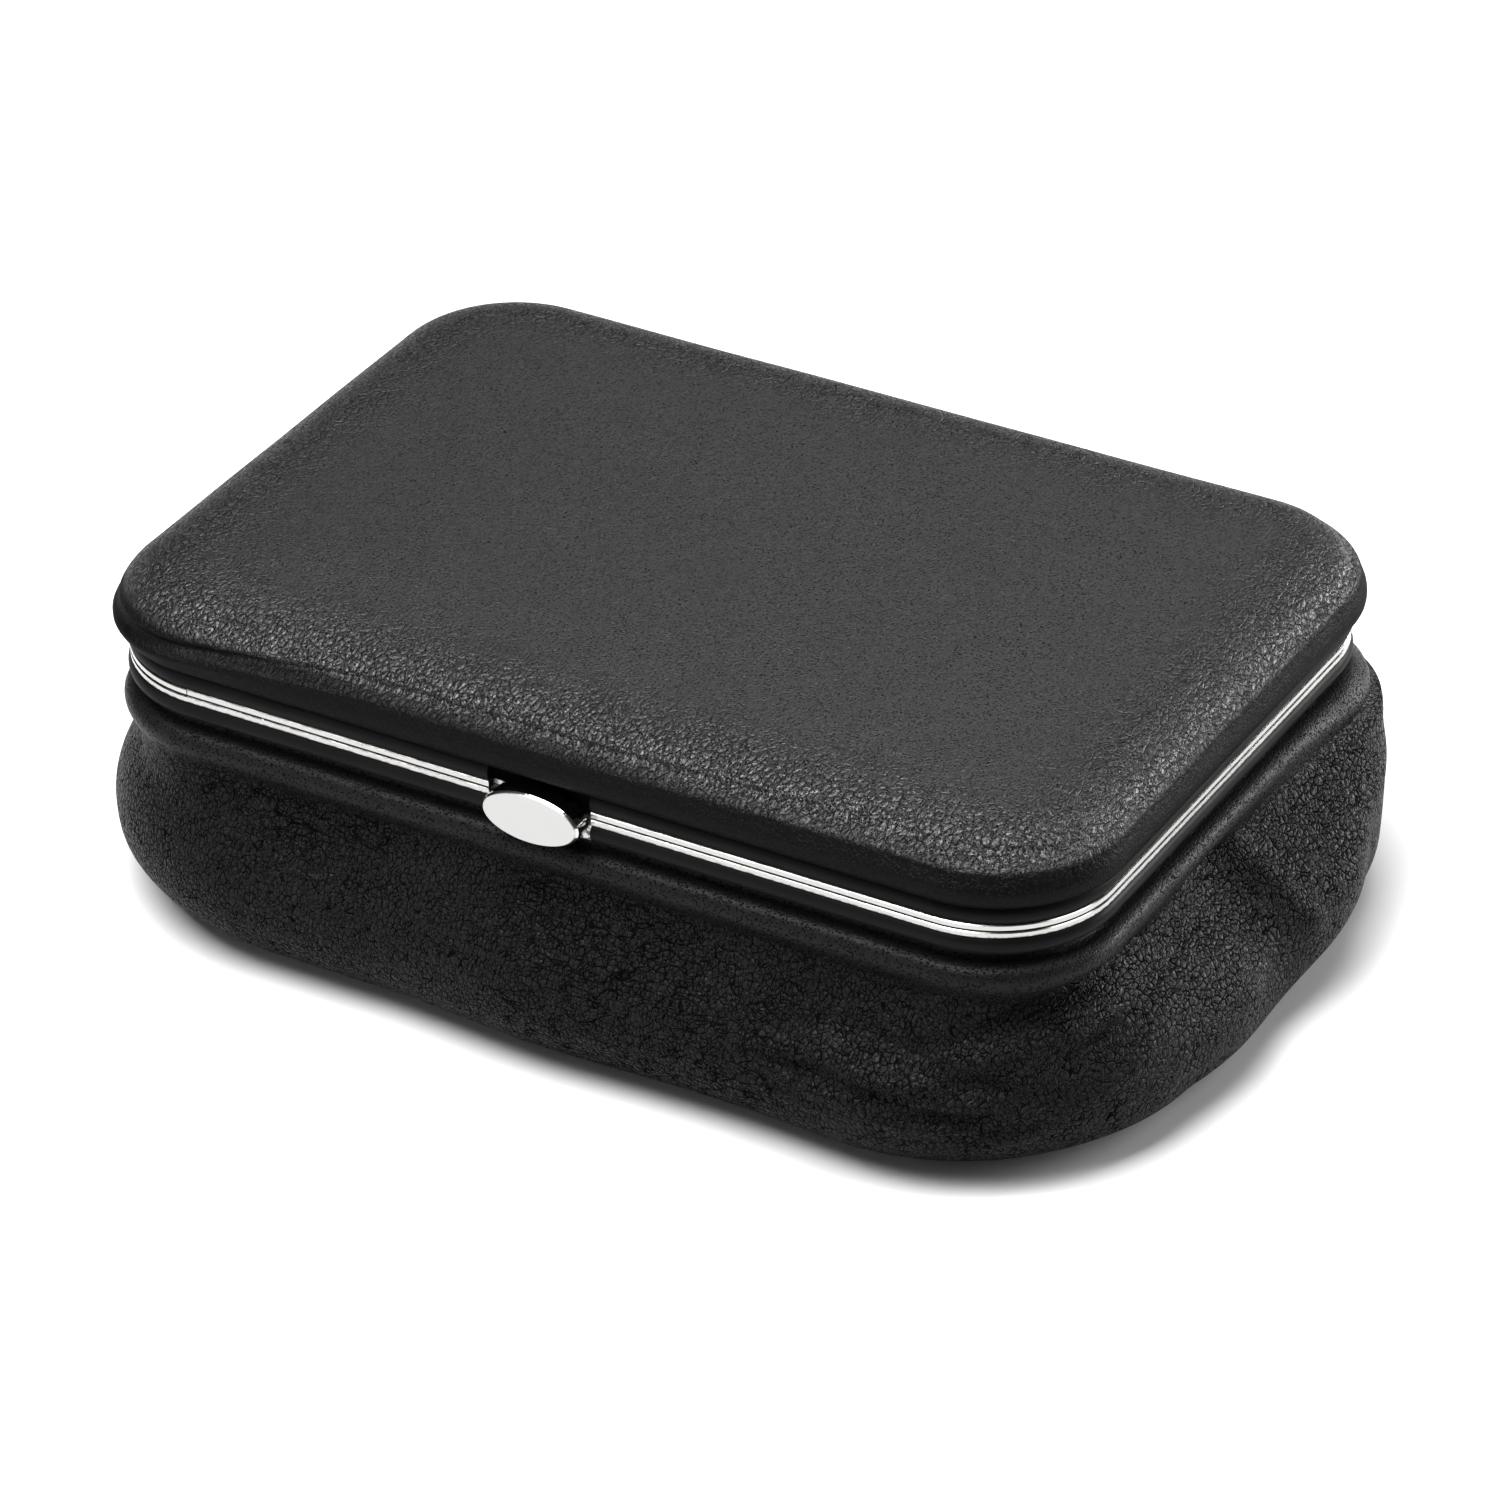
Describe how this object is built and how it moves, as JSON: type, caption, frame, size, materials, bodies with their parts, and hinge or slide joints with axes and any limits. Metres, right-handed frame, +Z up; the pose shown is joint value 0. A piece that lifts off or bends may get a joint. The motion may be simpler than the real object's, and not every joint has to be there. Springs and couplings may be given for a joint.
{
  "type": "poker chip case",
  "caption": "Framed leather case with a padded lid, a soft pouch, twin barrel hinges, a push-button clasp and a channelled tray for rows of chips.",
  "frame": {"origin": "middle of the footprint on the surface the case stands on", "axes": "+X along the length, +Y towards the hinges, -Y towards the clasp, +Z up"},
  "size_m": [0.202, 0.141, 0.0636],
  "materials": {
    "pouch_leather": "soft pebbled black leather",
    "lid_leather": "black leather with fine grain, drawn tight",
    "polished_metal": "polished nickel plating",
    "button_metal": "satin face with a bright rim",
    "black_band": "smooth black with a soft sheen",
    "hinge_steel": "plated steel",
    "spring_steel": "drawn wire and pressed sheet",
    "bush_brass": "turned brass",
    "lining": "bottle-green suedette",
    "tray": "wood covered with green flock",
    "board": "grey-brown pressed board",
    "wadding": "pale wadding"
  },
  "bodies": {
    "base": {"pouch_leather": "pouch_leather", "pouch_lining": "lining", "base_board": "board", "lower_frame": "polished_metal", "lower_band": "black_band", "chip_tray": "tray", "lower_hinge_leaves": "hinge_steel", "hinge_pins": "hinge_steel", "lower_hinge_rivets": "hinge_steel", "stem_bush": "bush_brass", "clasp_cover": "spring_steel", "clasp_screws": "spring_steel", "button_spring": "spring_steel"},
    "lid": {"lid_leather": "lid_leather", "lid_padding": "wadding", "lid_board": "board", "lid_lining": "lining", "upper_frame": "polished_metal", "upper_band": "black_band", "upper_hinge_leaves": "hinge_steel", "upper_hinge_rivets": "hinge_steel"},
    "button": {"push_button": "button_metal", "button_stem": "spring_steel", "latch_hook": "spring_steel", "stem_collar": "spring_steel"}
  },
  "joints": [
    {"name": "lid_hinge", "type": "hinge", "parent": "base", "child": "lid", "pos_m": [0, 0.0641, 0.047], "axis": [-1, 0, 0], "range_deg": [0, 105]},
    {"name": "button_press", "type": "slide", "parent": "base", "child": "button", "axis": [0, 1, 0], "range_m": [0, 0.0015], "stiffness_N_per_m": 600, "springref_m": -0.003, "deforming": ["button_spring"]}
  ]
}
